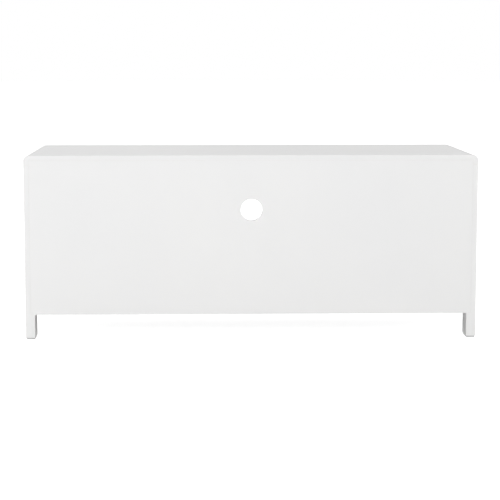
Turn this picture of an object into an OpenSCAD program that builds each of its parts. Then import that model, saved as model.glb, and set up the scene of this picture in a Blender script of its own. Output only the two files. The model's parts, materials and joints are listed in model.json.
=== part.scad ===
// Low TV stand with two hinged doors, an open centre bay and a flush back.
// Millimetres. +Z is up, the doors face -Y and the flush back faces +Y.
// The origin is on the floor, at the middle of the overall footprint.

/* [Body] */
// Width over the side panels
body_w = 1200; // [1000:10:1600]
// Depth from the front edges to the back, without the knobs
body_d = 400; // [330:5:500]
// Height from the floor to the top
total_h = 490; // [430:5:640]
// Thickness of the top and the side panels
shell_t = 25; // [22:1:30]
// Thickness of the bottom panel and the dividers
inner_t = 18; // [16:1:22]
// Radius of the rounded upper corners
corner_r = 14; // [4:1:20]
// Width of each bay behind a door
door_bay_w = 370; // [300:5:430]

/* [Feet] */
// Height of the body's underside above the floor
foot_h = 66; // [50:1:100]
// Depth of each foot, which is as wide as the side panel is thick
foot_d = 50; // [36:1:80]
// Radius where a foot meets the underside
foot_fillet_r = 6; // [2:1:12]
// Height of the glides under the feet
glide_h = 4; // [3:0.5:8]
// How far a glide stands in from the faces of its foot
glide_inset = 1.5; // [1:0.5:4]

/* [Back] */
// Thickness of the back panel
back_t = 12; // [10:1:16]
// Width of the rebate that the back panel sits in
rebate_w = 12; // [9:1:14]
// Gap between the back panel and the sides of its rebate
back_fit = 0.1; // [0.1:0.1:1]
// Diameter of the cable hole
cable_hole_d = 57; // [45:1:80]
// Distance from the top surface down to the centre of the cable hole
cable_hole_drop = 145; // [110:1:170]

/* [Shelves] */
// Thickness of the shelves
shelf_t = 18; // [15:1:22]
// Gap between a shelf's ends and the panels beside it
shelf_end_gap = 1; // [1:0.5:3]
// Setback of the centre shelf from the front edges
centre_shelf_setback = 20; // [10:1:60]
// Setback of a shelf behind a door from the back of that door
door_shelf_setback = 30; // [20:1:80]
// Gap between a shelf behind a door and the back panel
shelf_back_gap = 4; // [1:1:40]
// Length of the cable notch in the centre shelf
notch_w = 90; // [50:1:140]
// Depth of the cable notch
notch_d = 32; // [20:1:50]
// Radius of the cable notch's inner corners
notch_r = 8; // [2:1:16]
// Vertical spacing of the shelf pin holes
pin_pitch = 32; // [25:1:40]
// Number of pin holes in each column
pin_rows = 5; // [4:1:6]
// Height of the lowest pin hole above the bottom panel
pin_first = 86; // [60:1:120]
// Pin hole that carries the centre shelf, counted from 0
centre_shelf_row = 2; // [0:1:2]
// Pin hole that carries the shelves behind the doors, counted from 0
door_shelf_row = 3; // [0:1:3]

/* [Doors] */
// Thickness of the doors
door_t = 18; // [16:1:22]
// Gap above, below and at the free edge of a door
door_gap = 2; // [1.5:0.5:4]
// Gap at the hinged edge, which holds both hinge leaves
hinge_gap = 3; // [2.6:0.1:4]

/* [Hinges] */
// Length of a hinge
hinge_len = 50; // [40:1:70]
// Distance from a door's end to the middle of its hinge
hinge_inset = 62; // [45:1:100]
// Width of a hinge leaf
leaf_w = 16; // [12:0.5:20]
// Thickness of a hinge leaf
leaf_t = 1.2; // [0.8:0.1:1.2]
// Outer radius of the knuckles
barrel_r = 3; // [2.6:0.1:4]
// Radius of the hinge pin
hinge_pin_r = 1.5; // [1:0.1:1.8]
// Radial running clearance round the hinge pin
hinge_fit = 0.05; // [0.02:0.01:0.1]
// Gap between neighbouring knuckles
knuckle_gap = 0.3; // [0.2:0.1:0.6]

/* [Knobs] */
// Diameter of a knob
knob_d = 28; // [20:1:40]
// Distance that a knob stands out from the door
knob_proj = 24; // [18:1:35]
// Distance from a door's free edge to its knob
knob_edge = 32; // [22:1:60]
// Distance from a door's upper edge to its knob
knob_drop = 120; // [60:1:180]

/* [Catches] */
// Distance from the ceiling of the bay down to the middle of a catch
catch_drop = 60; // [40:1:90]
// Length of a catch's mounting flange
catch_len = 46; // [40:1:60]
// Gap between a catch's pole plates and the strike on the door
catch_gap = 0.3; // [0.2:0.1:1]

/* [Hidden] */

$fn = 48;
lacquer = "#eeeeec";
nickel = "#b9b6ae";
zinc = "#a9abad";
beech = "#d8b98c";
glide_grey = "#b4b4b2";
plastic = "#f2f2f0";
iron = "#6b6d70";

// cutting tools run this far past the face that they open
over = 1;

// planes of the body
half_w = body_w / 2;
y_back = (body_d + knob_proj) / 2;
y_front = y_back - body_d;
y_in = y_back - back_t;
z_ceil = total_h - shell_t;
z_floor = foot_h + inner_t;
x_wall = half_w - shell_t;
x_bay = x_wall - door_bay_w;
x_centre = x_bay - inner_t;

// middles of the feet
foot_x = half_w - shell_t / 2;
foot_ys = [y_front + foot_d / 2, y_back - foot_d / 2];
FRONT = 0;
REAR = 1;
glide_corner_r = 4;
glide_screw_sink = 0.6;

// doors, which are drawn on the +X side and mirrored for the other
door_x0 = x_bay + door_gap;
door_x1 = x_wall - hinge_gap;
door_z0 = z_floor + door_gap;
door_z1 = z_ceil - door_gap;
door_y1 = y_front + door_t;

// hinges: the pin's line stands in front of the door, in the middle of the gap
pin_x = x_wall - hinge_gap / 2;
barrel_stand_off = 0.2;
pin_proud = barrel_r + barrel_stand_off;
pin_y = y_front - pin_proud;
hinge_zs = [door_z1 - hinge_inset, door_z0 + hinge_inset];
UPPER = 0;
LOWER = 1;
knuckles = 5;
knuckle_pitch = hinge_len / knuckles;
knuckle_clear = 0.3;
hinge_tip_r = 2.4;
hinge_tip_h = 1.6;
hinge_screw_inset = 7;
hinge_screw_step = hinge_len / 2 - hinge_screw_inset;

// wood screws with countersunk heads, each [shank radius, head radius, length]
screw_fit = 0.05;
hinge_screw = [1.4, 2.7, 14];
catch_screw = [1.4, 2.6, 13];
strike_screw = [1.3, 2.4, 10];
glide_screw = [1.4, 2.8, 16];
divider_screw = [2, 4, 45];

// cross recess in a screw's head, in multiples of the head's radius
recess_span = 1.2;
recess_slot = 0.3;
recess_sink = 0.35;

// knobs
knob_x = door_x0 + knob_edge;
knob_z = door_z1 - knob_drop;
knob_screw_grip = 10;
knob_screw = [2, 4, door_t + knob_screw_grip];
knob_head_t = 9.6;
knob_edge_r = 3;
knob_neck_r = 5.6;
knob_rose_r = 9.5;
knob_rose_t = 2.4;

// catches: the strike lies on the door and the pole plates face it
strike_t = 1.2;
strike_w = 12;
strike_h = 22;
catch_pole_y = door_y1 + strike_t + catch_gap;
catch_pole_show = 0.6;
catch_body_y = catch_pole_y + catch_pole_show;
catch_body_d = 16;
catch_body_w = 18;
catch_body_h = 24;
catch_flange_t = 3;
catch_z = z_ceil - catch_drop;
catch_pole_t = 1.2;
catch_pole_h = 18;
catch_pole_d = 10;
catch_pole_gap = 5;
catch_pole_x = x_bay + (catch_body_w + catch_flange_t) / 2;
catch_pocket_fit = 0.1;
catch_magnet_sink = 0.4;

// shelf pins
pin_r = 2.5;
pin_fit = 0.05;
pin_hole_web = 2;
pin_hole_depth = (inner_t - pin_hole_web) / 2;
pin_peg_clear = 0.5;
pin_peg_len = pin_hole_depth - pin_peg_clear;
pin_nose_r = 3.6;
pin_nose_len = 8;
pin_collar_r = 4.6;
pin_collar_t = 0.8;
pin_front_inset = 85;
pin_rear_inset = 50;
pin_ys = [y_front + pin_front_inset, y_in - pin_rear_inset];
pin_zs = [for (i = [0:pin_rows - 1]) z_floor + pin_first + i * pin_pitch];

// cam fittings and dowels
cam_r = 7.5;
cam_depth = 12.5;
cam_reach = 34;
cam_axis_in = 9;
cam_fit = 0.1;
cam_thread_r = 2.5;
cam_thread_len = 11;
cam_shank_r = 2.1;
cam_hole_r = 4;
cam_head_r = 3.2;
cam_head_len = 3;
dowel_r = 4;
dowel_len = 30;
dowel_short_end = 12;
dowel_fit = 0.05;
back_dowel_r = 3;
back_dowel_len = 20;
back_dowel_short_end = 7;
cam_end_gap = 0.4;
cam_inset = 70;
cam_ys = [y_front + cam_inset, y_in - cam_inset];
dowel_from_cam = 32;
dowel_inset = cam_inset + dowel_from_cam;
dowel_ys = [y_front + dowel_inset, y_in - dowel_inset];
back_dowel_inset = 60;
back_dowel_zs = [z_floor + back_dowel_inset, (z_floor + z_ceil) / 2, z_ceil - back_dowel_inset];

// ---------- placing ----------

// Draws its children on the +X side, or mirrored on the other side.
module sided(side) {
    if (side == "right") children();
    else mirror([1, 0, 0]) children();
}

// Draws its children on both sides.
module on_both_sides() {
    for (side = ["left", "right"]) sided(side) children();
}

// Places a fitting that joins the top to an upright, pointing down into the
// upright. Its cam opens towards open_x.
module at_top_joint(x, y, open_x) {
    translate([x, y, z_ceil]) rotate(open_x > 0 ? [180, 0, 0] : [0, 180, 0]) children();
}

// Places a fitting that joins the bottom panel to the +X side panel, pointing
// inwards along the bottom panel. Its cam opens downwards.
module at_bottom_joint(y) {
    translate([x_wall, y, foot_h + cam_axis_in])
        rotate([0, -90, 0]) rotate([0, 0, 180]) children();
}

// Places a fitting that joins the +X divider to the bottom panel, pointing up
// into the divider.
module at_divider_foot(y) {
    translate([x_bay - inner_t / 2, y, z_floor]) children();
}

// The two uprights on the +X side, each as [middle of its joints, way its cams open].
uprights = [[x_wall + cam_axis_in, -1], [x_bay - cam_axis_in, 1]];
SIDE = 0;
DIVIDER = 1;

// ---------- fittings ----------
// Each is drawn about the joint line: +Z runs into the board whose edge meets
// the joint and -Z into the board whose face does. A cam opens towards +X.

module cam_bolt() {
    translate([0, 0, -cam_thread_len]) cylinder(r = cam_thread_r, h = cam_thread_len);
    cylinder(r = cam_shank_r, h = cam_reach);
    translate([0, 0, cam_reach - cam_head_len / 2]) cylinder(r = cam_head_r, h = cam_head_len);
}

module cam_face_hole() {
    translate([0, 0, -cam_thread_len - over])
        cylinder(r = cam_thread_r + cam_fit / 2, h = cam_thread_len + over);
}

module cam_edge_holes() {
    translate([0, 0, -over]) cylinder(r = cam_hole_r, h = cam_reach + over);
    translate([cam_axis_in - cam_depth, 0, cam_reach])
        rotate([0, 90, 0]) cylinder(r = cam_r + cam_fit, h = cam_depth + over);
}

module cam() {
    slot_w = 1.4;
    slot_len = 8;
    slot_deep = 2;
    difference() {
        translate([cam_axis_in - cam_depth, 0, cam_reach])
            rotate([0, 90, 0]) cylinder(r = cam_r, h = cam_depth - cam_end_gap);
        cylinder(r = cam_hole_r, h = cam_reach + cam_head_len);
        for (a = [45, 135])
            translate([cam_axis_in - cam_end_gap, 0, cam_reach])
                rotate([a, 0, 0]) cube([2 * slot_deep, slot_len, slot_w], center = true);
    }
}

module dowel() {
    translate([0, 0, -dowel_short_end]) cylinder(r = dowel_r, h = dowel_len);
}

module dowel_hole() {
    translate([0, 0, -dowel_short_end - over])
        cylinder(r = dowel_r + dowel_fit, h = dowel_len + 2 * over);
}

// The cross recess of a screw whose head has radius r and is flush with Z = 0.
module cross_recess(r) {
    translate([0, 0, -recess_sink * r]) for (a = [0, 90]) rotate([0, 0, a])
        translate([-recess_span * r / 2, -recess_slot * r / 2, 0])
            cube([recess_span * r, recess_slot * r, recess_sink * r + over]);
}

// A countersunk screw whose head is flush with Z = 0 and whose point is
// towards -Z.
module screw(s) {
    head_h = s[1] - s[0];
    difference() {
        union() {
            translate([0, 0, -head_h]) cylinder(r1 = s[0], r2 = s[1], h = head_h);
            translate([0, 0, -s[2]]) cylinder(r = s[0], h = s[2] - head_h);
        }
        cross_recess(s[1]);
    }
}

// The hole that such a screw sits in.
module screw_hole(s) {
    head_h = s[1] - s[0];
    translate([0, 0, -head_h])
        cylinder(r1 = s[0] + screw_fit, r2 = s[1] + screw_fit, h = head_h);
    translate([0, 0, -s[2] - over]) cylinder(r = s[0] + screw_fit, h = s[2] + over);
    cylinder(r = s[1] + screw_fit, h = over);
}

// ---------- where the screws and dowels go ----------

// Hinge screws from the gap into the side panel.
module at_frame_leaf_screws() {
    for (z = hinge_zs, i = [-1:1])
        translate([x_wall - leaf_t, y_front + door_t / 2, z + i * hinge_screw_step])
            rotate([0, -90, 0]) children();
}

// Hinge screws from the gap into the edge of the door.
module at_door_leaf_screws() {
    for (z = hinge_zs, i = [-1:1])
        translate([door_x1 + leaf_t, y_front + door_t / 2, z + i * hinge_screw_step])
            rotate([0, 90, 0]) children();
}

module at_knob_screw() {
    translate([knob_x, door_y1, knob_z]) rotate([-90, 0, 0]) children();
}

module at_strike_screw() {
    translate([catch_pole_x, door_y1 + strike_t, catch_z]) rotate([-90, 0, 0]) children();
}

module at_catch_screws() {
    for (i = [-1, 1])
        translate([
            x_bay + catch_flange_t,
            catch_body_y + catch_body_d / 2,
            catch_z + i * (catch_len + catch_body_h) / 4
        ]) rotate([0, 90, 0]) children();
}

module at_glide_screws() {
    for (y = foot_ys, i = [-1, 1])
        translate([foot_x, y + i * foot_d / 4, glide_screw_sink]) rotate([180, 0, 0]) children();
}

module at_divider_screws() {
    for (y = cam_ys) translate([x_bay - inner_t / 2, y, foot_h]) rotate([180, 0, 0]) children();
}

// Dowels from the back panel into the divider, the side panel and the bottom.
module at_back_dowels() {
    for (z = back_dowel_zs, x = [x_bay - inner_t / 2, x_wall + rebate_w / 2])
        translate([x, y_in, z]) rotate([90, 0, 0]) children();
    translate([x_bay + door_bay_w / 2, y_in, foot_h + inner_t / 2]) rotate([90, 0, 0]) children();
}

module back_dowel_shape(fit, past) {
    translate([0, 0, -back_dowel_short_end - past])
        cylinder(r = back_dowel_r + fit, h = back_dowel_len + 2 * past);
}

// ---------- boards ----------

// Outline of the top seen from the front: square below, round above.
module top_outline() {
    intersection() {
        translate([-half_w, z_ceil]) square([body_w, shell_t]);
        union() {
            translate([-half_w, z_ceil]) square([body_w, shell_t - corner_r]);
            translate([corner_r - half_w, z_ceil]) square([body_w - 2 * corner_r, shell_t]);
            for (x = [-1, 1])
                translate([x * (half_w - corner_r), total_h - corner_r]) circle(r = corner_r, $fn = 96);
        }
    }
}

module top_panel() {
    color(lacquer) difference() {
        translate([0, y_back, 0]) rotate([90, 0, 0]) linear_extrude(height = body_d) top_outline();
        translate([-x_wall - rebate_w, y_in, z_ceil - over])
            cube([2 * (x_wall + rebate_w), back_t + over, rebate_w + over]);
        on_both_sides() {
            for (u = uprights, y = cam_ys) at_top_joint(u[0], y, u[1]) cam_face_hole();
            for (u = uprights, y = dowel_ys) at_top_joint(u[0], y, u[1]) dowel_hole();
        }
    }
}

// The space between the two feet of a side panel, seen from the side.
module foot_gap_outline() {
    gap = body_d - 2 * foot_d;
    translate([y_front + foot_d, -over]) square([gap, foot_h + over - foot_fillet_r]);
    translate([y_front + foot_d + foot_fillet_r, 0]) square([gap - 2 * foot_fillet_r, foot_h]);
    for (y = [y_front + foot_d + foot_fillet_r, y_back - foot_d - foot_fillet_r])
        translate([y, foot_h - foot_fillet_r]) circle(r = foot_fillet_r);
}

module side_panel(side) {
    color(lacquer) sided(side) difference() {
        translate([x_wall, y_front, glide_h]) cube([shell_t, body_d, z_ceil - glide_h]);
        translate([x_wall - over, 0, 0]) rotate([90, 0, 90])
            linear_extrude(height = shell_t + 2 * over) foot_gap_outline();
        translate([x_wall - over, y_in, foot_h])
            cube([rebate_w + over, back_t + over, z_ceil - foot_h + over]);
        for (y = cam_ys) at_top_joint(uprights[SIDE][0], y, uprights[SIDE][1]) cam_edge_holes();
        for (y = dowel_ys) at_top_joint(uprights[SIDE][0], y, uprights[SIDE][1]) dowel_hole();
        for (y = cam_ys) at_bottom_joint(y) cam_face_hole();
        for (y = dowel_ys) at_bottom_joint(y) dowel_hole();
        for (y = pin_ys, z = pin_zs) translate([x_wall, y, z]) pin_hole(1);
        at_frame_leaf_screws() screw_hole(hinge_screw);
        at_glide_screws() screw_hole(glide_screw);
        at_back_dowels() back_dowel_shape(dowel_fit, over);
    }
}

module bottom_panel() {
    color(lacquer) difference() {
        translate([-x_wall, y_front, foot_h]) cube([2 * x_wall, y_in - y_front, inner_t]);
        on_both_sides() {
            for (y = cam_ys) at_bottom_joint(y) cam_edge_holes();
            for (y = dowel_ys) at_bottom_joint(y) dowel_hole();
            for (y = dowel_ys) at_divider_foot(y) dowel_hole();
            at_divider_screws() screw_hole(divider_screw);
            at_back_dowels() back_dowel_shape(dowel_fit, over);
        }
    }
}

module divider(side) {
    color(lacquer) sided(side) difference() {
        translate([x_centre, y_front, z_floor]) cube([inner_t, y_in - y_front, z_ceil - z_floor]);
        for (y = cam_ys) at_top_joint(uprights[DIVIDER][0], y, uprights[DIVIDER][1]) cam_edge_holes();
        for (y = dowel_ys) at_top_joint(uprights[DIVIDER][0], y, uprights[DIVIDER][1]) dowel_hole();
        for (y = dowel_ys) at_divider_foot(y) dowel_hole();
        for (y = pin_ys, z = pin_zs) {
            translate([x_bay, y, z]) pin_hole(-1);
            translate([x_centre, y, z]) pin_hole(1);
        }
        at_divider_screws() screw_hole(divider_screw);
        at_catch_screws() screw_hole(catch_screw);
        at_back_dowels() back_dowel_shape(dowel_fit, over);
    }
}

module back_panel() {
    back_x = x_wall + rebate_w - back_fit;
    back_top = z_ceil + rebate_w - back_fit;
    color(lacquer) difference() {
        translate([-back_x, y_in, foot_h]) cube([2 * back_x, back_t, back_top - foot_h]);
        translate([0, y_back + over, total_h - cable_hole_drop])
            rotate([90, 0, 0]) cylinder(d = cable_hole_d, h = back_t + 2 * over);
        on_both_sides() at_back_dowels() back_dowel_shape(dowel_fit, over);
    }
}

// ---------- shelves ----------

// Outline of the centre shelf seen from above, with its cable notch.
module centre_shelf_outline() {
    w = 2 * (x_centre - shelf_end_gap);
    y0 = y_front + centre_shelf_setback;
    y1 = y_in - shelf_back_gap;
    difference() {
        translate([-w / 2, y0]) square([w, y1 - y0]);
        translate([-notch_w / 2, y1 - notch_d + notch_r]) square([notch_w, notch_d]);
        translate([notch_r - notch_w / 2, y1 - notch_d]) square([notch_w - 2 * notch_r, notch_d + over]);
        for (i = [-1, 1])
            translate([i * (notch_w / 2 - notch_r), y1 - notch_d + notch_r]) circle(r = notch_r);
    }
}

module centre_shelf() {
    color(lacquer) translate([0, 0, pin_zs[centre_shelf_row] + pin_nose_r])
        linear_extrude(height = shelf_t) centre_shelf_outline();
}

module door_bay_shelf(side) {
    y0 = door_y1 + door_shelf_setback;
    color(lacquer) sided(side)
        translate([x_bay + shelf_end_gap, y0, pin_zs[door_shelf_row] + pin_nose_r])
            cube([door_bay_w - 2 * shelf_end_gap, y_in - shelf_back_gap - y0, shelf_t]);
}

// A hole for a shelf pin, running along +X or -X into a board.
module pin_hole(way) {
    rotate([0, way * 90, 0]) translate([0, 0, -over])
        cylinder(r = pin_r + pin_fit, h = pin_hole_depth + over);
}

// A shelf pin whose nose points along +X or -X.
module shelf_pin(way) {
    rotate([0, way * 90, 0]) {
        translate([0, 0, -pin_peg_len]) cylinder(r = pin_r, h = pin_peg_len + pin_nose_len);
        cylinder(r = pin_collar_r, h = pin_collar_t);
        cylinder(r = pin_nose_r, h = pin_nose_len);
    }
}

module shelf_pins_centre() {
    color(nickel) on_both_sides() for (y = pin_ys)
        translate([x_centre, y, pin_zs[centre_shelf_row]]) shelf_pin(-1);
}

module shelf_pins_door_bay(side) {
    color(nickel) sided(side) for (y = pin_ys) {
        translate([x_bay, y, pin_zs[door_shelf_row]]) shelf_pin(1);
        translate([x_wall, y, pin_zs[door_shelf_row]]) shelf_pin(-1);
    }
}

// ---------- doors ----------

module door(side) {
    color(lacquer) sided(side) difference() {
        translate([door_x0, y_front, door_z0])
            cube([door_x1 - door_x0, door_t, door_z1 - door_z0]);
        at_door_leaf_screws() screw_hole(hinge_screw);
        at_knob_screw() screw_hole(knob_screw);
        at_strike_screw() screw_hole(strike_screw);
    }
}

// Half of a knob's section: X is the radius and Y the distance from the door.
module knob_section() {
    head_y = knob_proj - knob_head_t;
    square([knob_rose_r, knob_rose_t]);
    square([knob_neck_r, knob_proj - knob_edge_r]);
    translate([0, head_y + knob_edge_r]) square([knob_d / 2, knob_head_t - 2 * knob_edge_r]);
    translate([0, head_y]) square([knob_d / 2 - knob_edge_r, knob_head_t]);
    for (y = [head_y + knob_edge_r, knob_proj - knob_edge_r])
        translate([knob_d / 2 - knob_edge_r, y]) circle(r = knob_edge_r);
}

module knob(side) {
    color(nickel) sided(side) difference() {
        translate([knob_x, y_front, knob_z]) rotate([90, 0, 0]) rotate_extrude($fn = 96) knob_section();
        at_knob_screw() screw_hole(knob_screw);
    }
}

// ---------- hinges ----------

// Room round knuckle i of the hinge at height z.
module knuckle_slot(z, i) {
    reach = barrel_r + over;
    translate([
        pin_x - reach,
        pin_y - reach,
        z - hinge_len / 2 + i * knuckle_pitch - knuckle_gap / 2
    ]) cube([2 * reach, reach + barrel_r + knuckle_clear, knuckle_pitch + knuckle_gap]);
}

// A leaf of the hinge at height z. The frame leaf keeps knuckles 0, 2 and 4,
// and the door leaf keeps 1 and 3.
module hinge_leaf(z, plate_x, first_slot) {
    difference() {
        union() {
            translate([plate_x, pin_y, z - hinge_len / 2])
                cube([leaf_t, pin_proud + leaf_w, hinge_len]);
            translate([pin_x, pin_y, z - hinge_len / 2]) cylinder(r = barrel_r, h = hinge_len);
        }
        for (i = [first_slot:2:knuckles - 1]) knuckle_slot(z, i);
        translate([pin_x, pin_y, z - hinge_len / 2 - over])
            cylinder(r = hinge_pin_r + hinge_fit, h = hinge_len + 2 * over);
        children();
    }
}

module hinge_frame_leaf(side, z) {
    color(nickel) sided(side) hinge_leaf(z, x_wall - leaf_t, 1)
        at_frame_leaf_screws() screw_hole(hinge_screw);
}

module hinge_door_leaf(side, z) {
    color(nickel) sided(side) hinge_leaf(z, door_x1, 0)
        at_door_leaf_screws() screw_hole(hinge_screw);
}

module hinge_pin(side, z) {
    color(nickel) sided(side) translate([pin_x, pin_y, z]) {
        translate([0, 0, -hinge_len / 2]) cylinder(r = hinge_pin_r, h = hinge_len);
        for (i = [0, 1]) mirror([0, 0, i]) translate([0, 0, hinge_len / 2])
            cylinder(r1 = hinge_tip_r, r2 = hinge_tip_r / 2, h = hinge_tip_h);
    }
}

// ---------- catches ----------

// A block as high as the pole plates, from y0 back to the poles' rear ends.
module pole_block(x, w, y0, fit) {
    translate([x - w / 2 - fit, y0, catch_z - catch_pole_h / 2 - fit])
        cube([w + 2 * fit, catch_pole_y + catch_pole_d - y0, catch_pole_h + 2 * fit]);
}

module catch_housing(side) {
    poles_w = catch_pole_gap + 2 * catch_pole_t;
    color(plastic) sided(side) difference() {
        union() {
            translate([x_bay, catch_body_y, catch_z - catch_len / 2])
                cube([catch_flange_t, catch_body_d, catch_len]);
            translate([x_bay, catch_body_y, catch_z - catch_body_h / 2])
                cube([catch_body_w, catch_body_d, catch_body_h]);
        }
        pole_block(catch_pole_x, poles_w, catch_body_y - over, catch_pocket_fit);
        at_catch_screws() screw_hole(catch_screw);
    }
}

// The magnet and the two pole plates on its sides.
module catch_magnet(side) {
    color(iron) sided(side) {
        pole_block(catch_pole_x, catch_pole_gap, catch_body_y + catch_magnet_sink, 0);
        for (i = [-1, 1])
            pole_block(catch_pole_x + i * (catch_pole_gap + catch_pole_t) / 2, catch_pole_t,
                catch_pole_y, 0);
    }
}

module catch_strike(side) {
    color(zinc) sided(side) difference() {
        translate([catch_pole_x - strike_w / 2, door_y1, catch_z - strike_h / 2])
            cube([strike_w, strike_t, strike_h]);
        at_strike_screw() screw_hole(strike_screw);
    }
}

// ---------- glides ----------

// Outline of a glide seen from above: the foot's outline, set in and rounded.
module glide_outline() {
    w = shell_t - 2 * glide_inset;
    d = foot_d - 2 * glide_inset;
    square([w - 2 * glide_corner_r, d], center = true);
    square([w, d - 2 * glide_corner_r], center = true);
    for (x = [-1, 1], y = [-1, 1])
        translate([x * (w / 2 - glide_corner_r), y * (d / 2 - glide_corner_r)])
            circle(r = glide_corner_r);
}

module glide(side, end) {
    color(glide_grey) sided(side) difference() {
        translate([foot_x, foot_ys[end], 0]) linear_extrude(height = glide_h) glide_outline();
        at_glide_screws() screw_hole(glide_screw);
    }
}

// ---------- groups of screws, dowels and cam fittings ----------

module top_cam_bolts() {
    color(zinc) on_both_sides()
        for (u = uprights, y = cam_ys) at_top_joint(u[0], y, u[1]) cam_bolt();
}

module top_cams() {
    color(zinc) on_both_sides()
        for (u = uprights, y = cam_ys) at_top_joint(u[0], y, u[1]) cam();
}

module bottom_cam_bolts() {
    color(zinc) on_both_sides() for (y = cam_ys) at_bottom_joint(y) cam_bolt();
}

module bottom_cams() {
    color(zinc) on_both_sides() for (y = cam_ys) at_bottom_joint(y) cam();
}

module top_dowels() {
    color(beech) on_both_sides()
        for (u = uprights, y = dowel_ys) at_top_joint(u[0], y, u[1]) dowel();
}

module bottom_dowels() {
    color(beech) on_both_sides() for (y = dowel_ys) at_bottom_joint(y) dowel();
}

module divider_dowels() {
    color(beech) on_both_sides() for (y = dowel_ys) at_divider_foot(y) dowel();
}

module divider_screws() {
    color(zinc) on_both_sides() at_divider_screws() screw(divider_screw);
}

module back_dowels() {
    color(beech) on_both_sides() at_back_dowels() back_dowel_shape(0, 0);
}

module glide_screws() {
    color(zinc) on_both_sides() at_glide_screws() screw(glide_screw);
}

module catch_screws() {
    color(zinc) on_both_sides() at_catch_screws() screw(catch_screw);
}

module knob_screw(side) {
    color(zinc) sided(side) at_knob_screw() screw(knob_screw);
}

module strike_screw(side) {
    color(zinc) sided(side) at_strike_screw() screw(strike_screw);
}

module hinge_frame_screws(side) {
    color(nickel) sided(side) at_frame_leaf_screws() screw(hinge_screw);
}

module hinge_door_screws(side) {
    color(nickel) sided(side) at_door_leaf_screws() screw(hinge_screw);
}

// ---------- drawing ----------

top_panel();
side_panel("left");  // side_panel_left
side_panel("right");  // side_panel_right
bottom_panel();
divider("left");  // divider_left
divider("right");  // divider_right
back_panel();

centre_shelf();
door_bay_shelf("left");  // shelf_left
door_bay_shelf("right");  // shelf_right
shelf_pins_centre();
shelf_pins_door_bay("left");  // shelf_pins_left
shelf_pins_door_bay("right");  // shelf_pins_right

door("left");  // door_left
door("right");  // door_right
knob("left");  // knob_left
knob("right");  // knob_right
knob_screw("left");  // knob_screw_left
knob_screw("right");  // knob_screw_right

hinge_frame_leaf("left", hinge_zs[UPPER]);  // hinge_left_upper_frame_leaf
hinge_door_leaf("left", hinge_zs[UPPER]);  // hinge_left_upper_door_leaf
hinge_pin("left", hinge_zs[UPPER]);  // hinge_left_upper_pin
hinge_frame_leaf("left", hinge_zs[LOWER]);  // hinge_left_lower_frame_leaf
hinge_door_leaf("left", hinge_zs[LOWER]);  // hinge_left_lower_door_leaf
hinge_pin("left", hinge_zs[LOWER]);  // hinge_left_lower_pin
hinge_frame_leaf("right", hinge_zs[UPPER]);  // hinge_right_upper_frame_leaf
hinge_door_leaf("right", hinge_zs[UPPER]);  // hinge_right_upper_door_leaf
hinge_pin("right", hinge_zs[UPPER]);  // hinge_right_upper_pin
hinge_frame_leaf("right", hinge_zs[LOWER]);  // hinge_right_lower_frame_leaf
hinge_door_leaf("right", hinge_zs[LOWER]);  // hinge_right_lower_door_leaf
hinge_pin("right", hinge_zs[LOWER]);  // hinge_right_lower_pin
hinge_frame_screws("left");  // hinge_frame_screws_left
hinge_frame_screws("right");  // hinge_frame_screws_right
hinge_door_screws("left");  // hinge_door_screws_left
hinge_door_screws("right");  // hinge_door_screws_right

catch_housing("left");  // catch_housing_left
catch_housing("right");  // catch_housing_right
catch_magnet("left");  // catch_magnet_left
catch_magnet("right");  // catch_magnet_right
catch_strike("left");  // catch_strike_left
catch_strike("right");  // catch_strike_right
strike_screw("left");  // strike_screw_left
strike_screw("right");  // strike_screw_right
catch_screws();

glide("left", FRONT);  // glide_front_left
glide("right", FRONT);  // glide_front_right
glide("left", REAR);  // glide_rear_left
glide("right", REAR);  // glide_rear_right
glide_screws();

top_cam_bolts();
top_cams();
bottom_cam_bolts();
bottom_cams();
top_dowels();
bottom_dowels();
divider_dowels();
divider_screws();
back_dowels();
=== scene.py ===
import json
import math

import bpy
from mathutils import Euler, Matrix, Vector

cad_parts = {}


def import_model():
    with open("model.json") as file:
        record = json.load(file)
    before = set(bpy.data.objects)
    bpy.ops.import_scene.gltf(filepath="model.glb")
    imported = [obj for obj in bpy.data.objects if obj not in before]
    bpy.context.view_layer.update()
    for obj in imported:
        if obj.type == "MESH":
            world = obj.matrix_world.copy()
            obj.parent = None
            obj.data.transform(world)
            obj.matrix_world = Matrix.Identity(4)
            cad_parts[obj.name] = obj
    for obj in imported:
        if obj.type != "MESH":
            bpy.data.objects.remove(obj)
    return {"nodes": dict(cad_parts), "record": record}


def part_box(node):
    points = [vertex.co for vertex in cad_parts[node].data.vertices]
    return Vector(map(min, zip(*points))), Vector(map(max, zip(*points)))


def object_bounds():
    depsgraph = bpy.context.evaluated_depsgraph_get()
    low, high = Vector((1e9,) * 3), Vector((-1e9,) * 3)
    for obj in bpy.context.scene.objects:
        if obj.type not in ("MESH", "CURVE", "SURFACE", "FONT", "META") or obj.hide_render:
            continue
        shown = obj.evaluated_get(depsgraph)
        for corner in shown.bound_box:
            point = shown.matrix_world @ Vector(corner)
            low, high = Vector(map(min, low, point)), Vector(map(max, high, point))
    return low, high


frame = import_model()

CAD_LOW, CAD_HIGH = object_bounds()
NODES = frame["nodes"]
ROWS = frame["record"]["subparts"]
SLOT_OF = {row["node"]: row["material_slot"] for row in ROWS}

MM = 0.001  # one millimetre, in metres


# ---------- node helpers ----------

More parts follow.
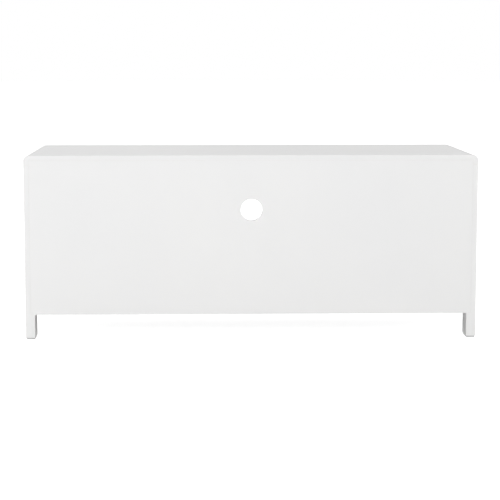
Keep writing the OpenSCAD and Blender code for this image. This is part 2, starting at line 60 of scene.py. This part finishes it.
class Graph:
    """A material whose nodes are added by short calls."""

    def __init__(self, name):
        self.material = bpy.data.materials.new(name)
        self.material.use_nodes = True
        self.tree = self.material.node_tree
        self.shader = self.tree.nodes["Principled BSDF"]
        self.place = self.add("ShaderNodeTexCoord").outputs["Object"]

    def add(self, kind, **inputs):
        """A new node. Each input is named with _ for a space, and is a value or a socket."""
        node = self.tree.nodes.new(kind)
        for name, value in inputs.items():
            self.set(node.inputs[name.replace("_", " ")], value)
        return node

    def set(self, socket, value):
        """Links a socket to the input, or writes a plain value on it."""
        if isinstance(value, bpy.types.NodeSocket):
            self.tree.links.new(value, socket)
        else:
            socket.default_value = value

    def finish(self, **inputs):
        """Sets the shader's own inputs and gives the material."""
        for name, value in inputs.items():
            self.set(self.shader.inputs[name.replace("_", " ")], value)
        return self.material

    def math(self, operation, first, second=0.0):
        """A sum, product or the like of two numbers."""
        node = self.tree.nodes.new("ShaderNodeMath")
        node.operation = operation
        self.set(node.inputs[0], first)
        self.set(node.inputs[1], second)
        return node.outputs[0]

    def vector(self, operation, first, second=(0, 0, 0)):
        """A vector sum, product or the like, or a number where the operation gives one."""
        node = self.tree.nodes.new("ShaderNodeVectorMath")
        node.operation = operation
        self.set(node.inputs[0], first)
        self.set(node.inputs[1], second)
        return node.outputs["Value" if operation == "LENGTH" else "Vector"]

    def noise(self, scale, detail=2.0, roughness=0.5, stretch=(1, 1, 1), at=None):
        """Noise with scale features per metre, drawn out along an axis whose stretch is below 1."""
        mapping = self.add("ShaderNodeMapping", Vector=at or self.place, Scale=stretch)
        node = self.add("ShaderNodeTexNoise", Vector=mapping.outputs[0], Scale=scale,
                        Detail=detail, Roughness=roughness)
        return node.outputs["Fac"]

    def spread(self, value, low, high, start=0.3, end=0.7):
        """Value's span from start to end, noise's usual one, stretched to low..high."""
        node = self.add("ShaderNodeMapRange", Value=value, From_Min=start, From_Max=end,
                        To_Min=low, To_Max=high)
        return node.outputs["Result"]

    def mix(self, factor, first, second):
        """A blend of two colours. Its node also has inputs for numbers and vectors."""
        node = self.tree.nodes.new("ShaderNodeMix")
        node.data_type = "RGBA"
        factor_in, first_in, second_in = (node.inputs[i] for i in (0, 6, 7))
        self.set(factor_in, factor)
        self.set(first_in, first)
        self.set(second_in, second)
        return node.outputs[2]

    def bump(self, height, distance, under=None):
        """A normal that is raised by height times distance, in metres, on top of another."""
        node = self.add("ShaderNodeBump", Height=height, Distance=distance)
        if under is not None:
            self.set(node.inputs["Normal"], under)
        return node.outputs["Normal"]


def colour(red, green, blue):
    return (red, green, blue, 1.0)


def grey(level):
    return colour(level, level, level)


# ---------- lacquer ----------

def edge_distance(g, low, high):
    """How far a point on a board is from the board's nearest edge, in metres.

    On a box the distances to its three pairs of faces are zero, small and large
    near an edge, so the middle one is the distance to the edge.
    """
    middle = (low + high) / 2
    half = (high - low) / 2
    from_middle = g.vector("ABSOLUTE", g.vector("SUBTRACT", g.place, middle))
    x, y, z = g.add("ShaderNodeSeparateXYZ", Vector=g.vector("SUBTRACT", half, from_middle)).outputs
    smaller = g.math("MINIMUM", x, y)
    larger = g.math("MAXIMUM", x, y)
    return g.math("MAXIMUM", smaller, g.math("MINIMUM", larger, z))


def board_lacquer(node):
    """Sprayed white satin lacquer: a faint orange peel, hazy patches and thin, rubbed edges."""
    g = Graph("white_lacquer_" + node)
    low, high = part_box(node)
    drift = g.spread(g.noise(2.6, detail=3.0), 0.0, 1.0)
    film = g.mix(drift, grey(0.80), colour(0.818, 0.816, 0.810))
    primer = colour(0.74, 0.73, 0.70)
    ragged = g.spread(g.noise(140, detail=3.0), 0.4 * MM, 2.4 * MM)
    rubbed = g.spread(g.math("DIVIDE", edge_distance(g, low, high), ragged), 0.35, 0.0, 0.3, 1.0)
    haze = g.spread(g.noise(9, detail=5.0, roughness=0.6), 0.38, 0.46)
    wiped = g.spread(g.noise(60, detail=2.0, stretch=(0.12, 1, 1)), -0.015, 0.015)
    peel = g.bump(g.noise(380, detail=1.0), 0.03 * MM)
    grain = g.bump(g.noise(2600, detail=2.0), 0.004 * MM, under=peel)
    return g.finish(
        Base_Color=g.mix(rubbed, film, primer),
        Roughness=g.math("ADD", g.math("ADD", haze, wiped), g.math("MULTIPLY", rubbed, 0.25)),
        Normal=grain,
        Coat_Weight=0.15,
        Coat_Roughness=0.22,
    )


# ---------- metals ----------

def satin_nickel():
    """Brushed and plated: fine lines along Z, with a few cloudy patches."""
    g = Graph("satin_nickel")
    lines = g.noise(5200, detail=2.0, stretch=(1, 1, 0.03))
    cloud = g.spread(g.noise(90, detail=4.0), 0.0, 1.0)
    return g.finish(
        Base_Color=g.mix(cloud, colour(0.60, 0.58, 0.54), colour(0.67, 0.65, 0.61)),
        Metallic=1.0,
        Roughness=g.spread(lines, 0.20, 0.36),
        Normal=g.bump(lines, 0.004 * MM),
    )


def turned_nickel(node):
    """The same plating on a knob, with the rings that the lathe leaves round its axis."""
    g = Graph("satin_nickel_" + node)
    low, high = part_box(node)
    from_axis = g.vector("MULTIPLY", g.vector("SUBTRACT", g.place, (low + high) / 2), (1, 0, 1))
    radius = g.vector("LENGTH", from_axis)
    along = g.add("ShaderNodeSeparateXYZ", Vector=g.place).outputs[1]
    cut = g.add("ShaderNodeCombineXYZ", X=radius, Y=along).outputs[0]
    rings = g.noise(4200, detail=2.0, at=cut)
    smudge = g.spread(g.noise(160, detail=3.0), 0.0, 0.10)
    tangent = g.tree.nodes.new("ShaderNodeTangent")
    tangent.direction_type = "RADIAL"
    tangent.axis = "Y"
    return g.finish(
        Base_Color=g.mix(smudge, colour(0.66, 0.64, 0.60), colour(0.50, 0.48, 0.44)),
        Metallic=1.0,
        Roughness=g.math("ADD", g.spread(rings, 0.18, 0.30), smudge),
        Normal=g.bump(rings, 0.005 * MM),
        Anisotropic=0.4,
        Tangent=tangent.outputs[0],
    )


def shelf_pin_nickel():
    """Bright nickel over brass, with small pits where the plating is thin."""
    g = Graph("shelf_pin_nickel")
    pits = g.noise(1500, detail=2.0)
    worn = g.spread(pits, 0.0, 1.0, 0.66, 0.74)
    return g.finish(
        Base_Color=g.mix(worn, colour(0.69, 0.67, 0.63), colour(0.62, 0.53, 0.36)),
        Metallic=1.0,
        Roughness=g.spread(g.noise(400, detail=3.0), 0.14, 0.26),
        Normal=g.bump(pits, 0.006 * MM),
    )


def screw_zinc():
    """Zinc plate with the faint yellow and blue of its passivation."""
    g = Graph("screw_zinc")
    film = g.spread(g.noise(260, detail=2.0), 0.0, 1.0)
    grit = g.noise(2400, detail=3.0)
    return g.finish(
        Base_Color=g.mix(film, colour(0.56, 0.59, 0.64), colour(0.66, 0.64, 0.55)),
        Metallic=1.0,
        Roughness=g.spread(grit, 0.24, 0.42),
        Normal=g.bump(grit, 0.008 * MM),
    )


def strike_steel():
    """Rolled sheet steel, zinc plated, with its rolling lines across the strike."""
    g = Graph("strike_steel")
    rolled = g.noise(3600, detail=2.0, stretch=(0.04, 1, 1))
    spangle = g.spread(g.noise(500, detail=1.0), 0.0, 1.0)
    return g.finish(
        Base_Color=g.mix(spangle, colour(0.55, 0.57, 0.59), colour(0.63, 0.64, 0.65)),
        Metallic=1.0,
        Roughness=g.spread(rolled, 0.26, 0.40),
        Normal=g.bump(rolled, 0.005 * MM),
    )


def cam_zinc():
    """Die-cast zinc: dull, slightly lumpy and blotched."""
    g = Graph("cam_zinc")
    blotch = g.spread(g.noise(320, detail=4.0), 0.0, 1.0)
    skin = g.noise(1400, detail=3.0)
    return g.finish(
        Base_Color=g.mix(blotch, colour(0.42, 0.43, 0.45), colour(0.56, 0.57, 0.58)),
        Metallic=1.0,
        Roughness=g.spread(skin, 0.38, 0.54),
        Normal=g.bump(skin, 0.02 * MM),
    )


# ---------- plastics, magnet and wood ----------

def catch_plastic():
    """White moulded housing with the fine spark texture of its mould."""
    g = Graph("catch_plastic")
    spark = g.noise(2200, detail=2.0)
    flow = g.spread(g.noise(70, detail=3.0), 0.0, 1.0)
    return g.finish(
        Base_Color=g.mix(flow, colour(0.80, 0.80, 0.78), colour(0.84, 0.84, 0.82)),
        Roughness=g.spread(spark, 0.42, 0.56),
        Normal=g.bump(spark, 0.02 * MM),
        Subsurface_Weight=0.1,
        Subsurface_Radius=(0.003, 0.003, 0.003),
    )


def catch_magnet(node):
    """A dark ferrite block between two pole plates of bare steel."""
    g = Graph("catch_magnet_" + node)
    low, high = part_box(node)
    plate = 1.25 * MM
    x = g.add("ShaderNodeSeparateXYZ", Vector=g.place).outputs[0]
    across = g.math("ABSOLUTE", g.math("SUBTRACT", x, (low.x + high.x) / 2))
    steel = g.math("GREATER_THAN", across, (high.x - low.x) / 2 - plate)
    grit = g.noise(1800, detail=3.0)
    metal = g.mix(g.spread(grit, 0.0, 1.0), grey(0.44), grey(0.55))
    ferrite = g.mix(g.spread(grit, 0.0, 1.0), grey(0.05), grey(0.09))
    return g.finish(
        Base_Color=g.mix(steel, ferrite, metal),
        Metallic=steel,
        Roughness=g.spread(grit, 0.34, 0.52),
        Normal=g.bump(grit, 0.01 * MM),
    )


def glide_plastic():
    """Grey polyethylene with scuffs from the floor."""
    g = Graph("glide_plastic")
    scuff = g.noise(600, detail=5.0, roughness=0.7, stretch=(1, 0.25, 1))
    worn = g.spread(scuff, 0.0, 1.0, 0.52, 0.68)
    return g.finish(
        Base_Color=g.mix(worn, grey(0.52), colour(0.60, 0.60, 0.59)),
        Roughness=g.spread(scuff, 0.44, 0.62),
        Normal=g.bump(scuff, 0.03 * MM),
    )


DOWEL_AXIS = {"top_dowels": 2, "divider_dowels": 2, "bottom_dowels": 0, "back_dowels": 1}


def beech(node):
    """Pale beech with its grain along the dowels, and with short darker flecks."""
    g = Graph("beech_" + node)
    along = [1.0, 1.0, 1.0]
    along[DOWEL_AXIS[node]] = 0.15
    growth = g.spread(g.noise(240, detail=3.0, stretch=along), 0.0, 1.0)
    flecks = g.spread(g.noise(1300, detail=1.0, stretch=along), 0.0, 0.8, 0.58, 0.70)
    timber = g.mix(growth, colour(0.62, 0.42, 0.24), colour(0.74, 0.54, 0.34))
    return g.finish(
        Base_Color=g.mix(flecks, timber, colour(0.42, 0.25, 0.13)),
        Roughness=g.spread(growth, 0.55, 0.68),
        Normal=g.bump(growth, 0.02 * MM),
    )


# Materials that several nodes share, by the record's material slots
SHARED = {
    "satin_nickel": satin_nickel(),
    "shelf_pin_nickel": shelf_pin_nickel(),
    "screw_zinc": screw_zinc(),
    "strike_steel": strike_steel(),
    "cam_zinc": cam_zinc(),
    "catch_plastic": catch_plastic(),
    "glide_plastic": glide_plastic(),
}


def material_for(node):
    """A node's material: its own where the look depends on the node's place, or a shared one."""
    slot = SLOT_OF[node]
    if slot == "white_lacquer":
        return board_lacquer(node)
    if slot == "catch_magnet":
        return catch_magnet(node)
    if slot == "beech":
        return beech(node)
    if node.startswith("knob_") and slot == "satin_nickel":
        return turned_nickel(node)
    return SHARED[slot]


# ---------- edges ----------

# How wide the softened edges are
BOARD_EDGE = 0.5 * MM
BACK_EDGE = 0.25 * MM
FITTING_EDGE = 0.12 * MM

# Faces that meet at more than SHARP_ANGLE have an edge, and at less than FLAT_ANGLE are one face
SHARP_ANGLE = math.radians(35)
FLAT_ANGLE = math.radians(0.5)

# Corners closer than this are one corner
MERGE = 0.002 * MM

# The highest weight that a face's area can have in the shading of its corners
LARGE_FACES_RULE = 100


def joined_faces():
    """Modifier nodes that join a node's faces into one skin, smooth up to SHARP_ANGLE."""
    tree = bpy.data.node_groups.new("joined_faces", "GeometryNodeTree")
    tree.interface.new_socket("Geometry", in_out="INPUT", socket_type="NodeSocketGeometry")
    tree.interface.new_socket("Geometry", in_out="OUTPUT", socket_type="NodeSocketGeometry")
    shape = tree.nodes.new("NodeGroupInput").outputs[0]

    def step(kind, **inputs):
        """Passes the shape through one more node."""
        nonlocal shape
        node = tree.nodes.new(kind)
        tree.links.new(shape, node.inputs[0])
        for name, value in inputs.items():
            socket = node.inputs[name.replace("_", " ")]
            if isinstance(value, bpy.types.NodeSocket):
                tree.links.new(value, socket)
            else:
                socket.default_value = value
        shape = node.outputs[0]
        return node

    angle = tree.nodes.new("GeometryNodeInputMeshEdgeAngle")
    sharp = tree.nodes.new("ShaderNodeMath")
    sharp.operation = "GREATER_THAN"
    sharp.inputs[1].default_value = SHARP_ANGLE
    tree.links.new(angle.outputs[0], sharp.inputs[0])
    step("GeometryNodeRemoveAttribute", Name="custom_normal")
    step("GeometryNodeMergeByDistance", Distance=MERGE)
    step("GeometryNodeSetShadeSmooth", Shade_Smooth=True)
    step("GeometryNodeSetShadeSmooth", Selection=sharp.outputs[0], Shade_Smooth=False).domain = "EDGE"
    tree.links.new(shape, tree.nodes.new("NodeGroupOutput").inputs[0])
    return tree


def soften(obj, joined, width, segments, flatten=False):
    """Rounds the sharp edges of a CAD node by modifiers alone.

    A board's flat faces are cleared of the edges that lie in them, and the shading of
    every large face stays flat up to its rounded edges.
    """
    obj.modifiers.new("join", "NODES").node_group = joined
    if flatten:
        flat = obj.modifiers.new("flatten", "DECIMATE")
        flat.decimate_type = "DISSOLVE"
        flat.angle_limit = FLAT_ANGLE
    edge = obj.modifiers.new("edge", "BEVEL")
    edge.width = width
    edge.segments = segments
    edge.limit_method = "ANGLE"
    edge.angle_limit = SHARP_ANGLE
    shade = obj.modifiers.new("shade", "WEIGHTED_NORMAL")
    shade.mode = "FACE_AREA"
    shade.weight = LARGE_FACES_RULE


def dress():
    """Gives each CAD node its material and its softened edges."""
    joined = joined_faces()
    for name, obj in NODES.items():
        obj.data.materials.clear()
        obj.data.materials.append(material_for(name))
        if SLOT_OF[name] != "white_lacquer":
            soften(obj, joined, FITTING_EDGE, segments=2)
        elif name == "back_panel":
            soften(obj, joined, BACK_EDGE, segments=3, flatten=True)
        else:
            soften(obj, joined, BOARD_EDGE, segments=3, flatten=True)


dress()


# ---------- floor, light and camera ----------

def floor():
    """A pale floor that the camera sees bright, and that gives the object a plainer light back."""
    bpy.ops.mesh.primitive_circle_add(vertices=96, radius=30, fill_type="NGON", location=(0, 0, 0))
    obj = bpy.context.object
    obj.name = "floor"
    g = Graph("pale_floor")
    seen = g.add("ShaderNodeLightPath").outputs["Is Camera Ray"]
    obj.data.materials.append(g.finish(
        Base_Color=grey(0.75),
        Roughness=0.9,
        Emission_Color=grey(1.0),
        Emission_Strength=g.math("MULTIPLY", seen, 0.80),
    ))


def world(ends, sides, above):
    """Soft light all round: ends along Y, sides along X, and above along Z. The camera sees white."""
    studio = bpy.data.worlds.new("studio")
    bpy.context.scene.world = studio
    studio.use_nodes = True
    tree = studio.node_tree
    way = tree.nodes.new("ShaderNodeTexCoord")
    squared = tree.nodes.new("ShaderNodeVectorMath")
    squared.operation = "MULTIPLY"
    level = tree.nodes.new("ShaderNodeVectorMath")
    level.operation = "DOT_PRODUCT"
    level.inputs[1].default_value = (sides, ends, above)
    tree.links.new(way.outputs["Generated"], squared.inputs[0])
    tree.links.new(way.outputs["Generated"], squared.inputs[1])
    tree.links.new(squared.outputs["Vector"], level.inputs[0])
    lit = tree.nodes["Background"]
    lit.inputs["Color"].default_value = grey(1.0)
    tree.links.new(level.outputs["Value"], lit.inputs["Strength"])
    seen = tree.nodes.new("ShaderNodeBackground")
    seen.inputs["Color"].default_value = grey(1.0)
    path = tree.nodes.new("ShaderNodeLightPath")
    mix = tree.nodes.new("ShaderNodeMixShader")
    tree.links.new(path.outputs["Is Camera Ray"], mix.inputs[0])
    tree.links.new(lit.outputs[0], mix.inputs[1])
    tree.links.new(seen.outputs[0], mix.inputs[2])
    tree.links.new(mix.outputs[0], tree.nodes["World Output"].inputs["Surface"])


def softbox(name, place, size, power, diffuse=True, glossy=False):
    """A soft light that faces the stand, for its colour, its gloss or both."""
    light = bpy.data.lights.new(name, "AREA")
    light.shape = "RECTANGLE"
    light.size, light.size_y = size
    light.energy = power
    obj = bpy.data.objects.new(name, light)
    bpy.context.scene.collection.objects.link(obj)
    obj.location = place
    middle = (CAD_LOW + CAD_HIGH) / 2
    obj.rotation_euler = (middle - Vector(place)).to_track_quat("-Z", "Y").to_euler()
    obj.visible_diffuse = diffuse
    obj.visible_glossy = glossy


def camera():
    """Behind the stand and a little above it, looking along -Y."""
    beside, behind, above = 0.129, 3.535, 0.273
    down = math.radians(5.89)
    aside = math.radians(1.38)
    data = bpy.data.cameras.new("camera")
    data.lens = 97.0
    data.shift_x = 0.03
    data.shift_y = -0.12
    obj = bpy.data.objects.new("camera", data)
    bpy.context.scene.collection.objects.link(obj)
    obj.location = (beside, CAD_HIGH.y + behind, CAD_HIGH.z + above)
    obj.rotation_euler = Euler((math.pi / 2 - down, 0, math.pi - aside), "XYZ")
    bpy.context.scene.camera = obj


floor()
world(ends=0.67, sides=0.68, above=0.44)
softbox("key", (0.95, 5.2, 3.7), (6.0, 4.0), 221)
softbox("front_fill", (1.2, -4.4, 2.2), (2.4, 1.6), 105)
softbox("front_gloss", (-2.6, -3.6, 3.2), (1.2, 1.2), 22, diffuse=False, glossy=True)
softbox("rear_gloss", (2.2, 4.4, 3.4), (1.6, 1.6), 22, diffuse=False, glossy=True)
camera()
bpy.context.scene.view_settings.view_transform = "Standard"
